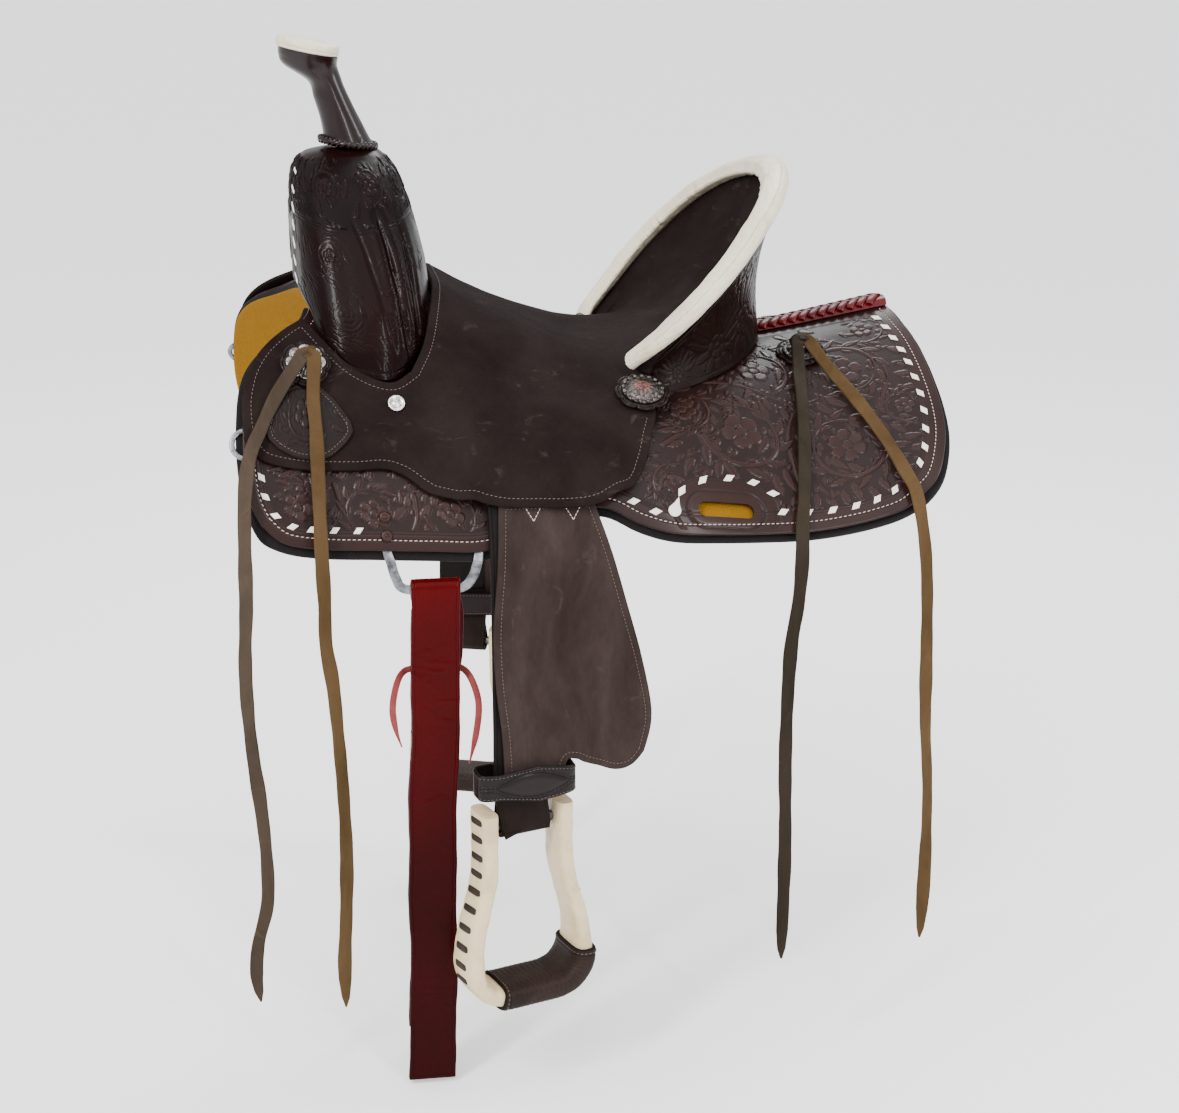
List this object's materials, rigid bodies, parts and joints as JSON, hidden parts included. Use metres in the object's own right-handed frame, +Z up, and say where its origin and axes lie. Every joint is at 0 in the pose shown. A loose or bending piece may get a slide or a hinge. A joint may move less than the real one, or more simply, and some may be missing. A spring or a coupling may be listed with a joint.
{
  "type": "barrel racing saddle",
  "caption": "Western barrel racing saddle: rawhide-bound cantle and horn cap, tooled skirts, rough-out seat and fenders, bell stirrups, folded latigo and saddle strings.",
  "frame": {"origin": "centre of the underside, in the plane of symmetry, level with the foot of the skirts' ridge at mid-seat, where the saddle bears on the back", "axes": "+X to the rear of the saddle, +Y to the off (right) side, +Z up; the near (left) side is at -Y"},
  "size_m": [0.6814, 0.616, 0.972],
  "materials": {
    "roughout_leather": "rough-out, dull",
    "oxblood_leather": "glossy dark oxblood brown",
    "tooled_leather": "tooled reddish brown, polished",
    "black_leather": "dark, semi-matt",
    "rawhide": "cream rawhide, satin",
    "felt": "matt felt",
    "latigo_leather": "glossy red",
    "lace": "pinkish red lace",
    "thong": "dry tan brown",
    "wood": "bare",
    "steel": "brushed",
    "iron": "dull",
    "silver": "antique silver",
    "copper": "aged copper"
  },
  "bodies": {
    "saddle": {"seat_leather": "roughout_leather", "swell_cover": "oxblood_leather", "horn_wrap": "oxblood_leather", "horn_collar": "oxblood_leather", "cantle_back_cover": "oxblood_leather", "skirt_near": "tooled_leather", "skirt_off": "tooled_leather", "jockey_corner_patch_near": "tooled_leather", "jockey_corner_patch_off": "tooled_leather", "front_rosette_near": "tooled_leather", "front_rosette_off": "tooled_leather", "corner_rosette_near": "tooled_leather", "corner_rosette_off": "tooled_leather", "rear_rosette_near": "tooled_leather", "rear_rosette_off": "tooled_leather", "horn_cap": "rawhide", "cantle_binding": "rawhide", "skirt_lining_near": "felt", "skirt_lining_off": "felt", "skirt_lacing": "latigo_leather", "front_string_fore": "thong", "front_string_aft": "thong", "rear_string_fore": "thong", "rear_string_aft": "thong", "tree_bar_near": "wood", "tree_bar_off": "wood", "ground_seat": "wood", "fork_core": "wood", "cantle_core": "wood", "rigging_dee_near": "steel", "rigging_dee_off": "steel", "breast_collar_dee_near": "steel", "breast_collar_dee_off": "steel", "horn_core": "iron", "front_concho_near": "silver", "front_concho_off": "silver", "corner_concho_near": "silver", "corner_concho_off": "silver", "rear_concho_near": "silver", "rear_concho_off": "silver", "seat_screw_near": "silver", "seat_screw_off": "silver", "rigging_rivet_near_1": "copper", "rigging_rivet_near_2": "copper", "rigging_rivet_off_1": "copper", "rigging_rivet_off_2": "copper"},
    "fender_near": {"fender_near": "roughout_leather", "stirrup_leather_near": "black_leather", "hobble_strap_near": "oxblood_leather"},
    "fender_off": {"fender_off": "roughout_leather", "stirrup_leather_off": "black_leather", "hobble_strap_off": "oxblood_leather"},
    "stirrup_near": {"stirrup_near": "rawhide", "stirrup_bolt_near": "iron", "tread_cover_near": "black_leather"},
    "stirrup_off": {"stirrup_off": "rawhide", "stirrup_bolt_off": "iron", "tread_cover_off": "black_leather"},
    "latigo": {"latigo": "latigo_leather", "latigo_lace": "lace"}
  },
  "joints": [
    {"name": "fender_swing_near", "type": "hinge", "parent": "saddle", "child": "fender_near", "pos_m": [-0.0215, -0.2475, -0.078], "axis": [0, -0.8988, 0.4384], "range_deg": [-2, 12]},
    {"name": "fender_swing_off", "type": "hinge", "parent": "saddle", "child": "fender_off", "pos_m": [-0.0215, 0.2475, -0.078], "axis": [0, -0.8988, -0.4384], "range_deg": [-8, 12]},
    {"name": "stirrup_turn_near", "type": "hinge", "parent": "fender_near", "child": "stirrup_near", "pos_m": [-0.029, -0.2612, -0.378], "axis": [0.9455, 0.3256, 0], "range_deg": [-25, 0]},
    {"name": "stirrup_turn_off", "type": "hinge", "parent": "fender_off", "child": "stirrup_off", "pos_m": [-0.029, 0.2612, -0.378], "axis": [-0.9455, 0.3256, 0], "range_deg": [-25, 25]},
    {"name": "latigo_swing", "type": "hinge", "parent": "saddle", "child": "latigo", "pos_m": [-0.103, -0.2351, -0.1562], "axis": [1, 0, 0], "range_deg": [-1, 18]}
  ]
}
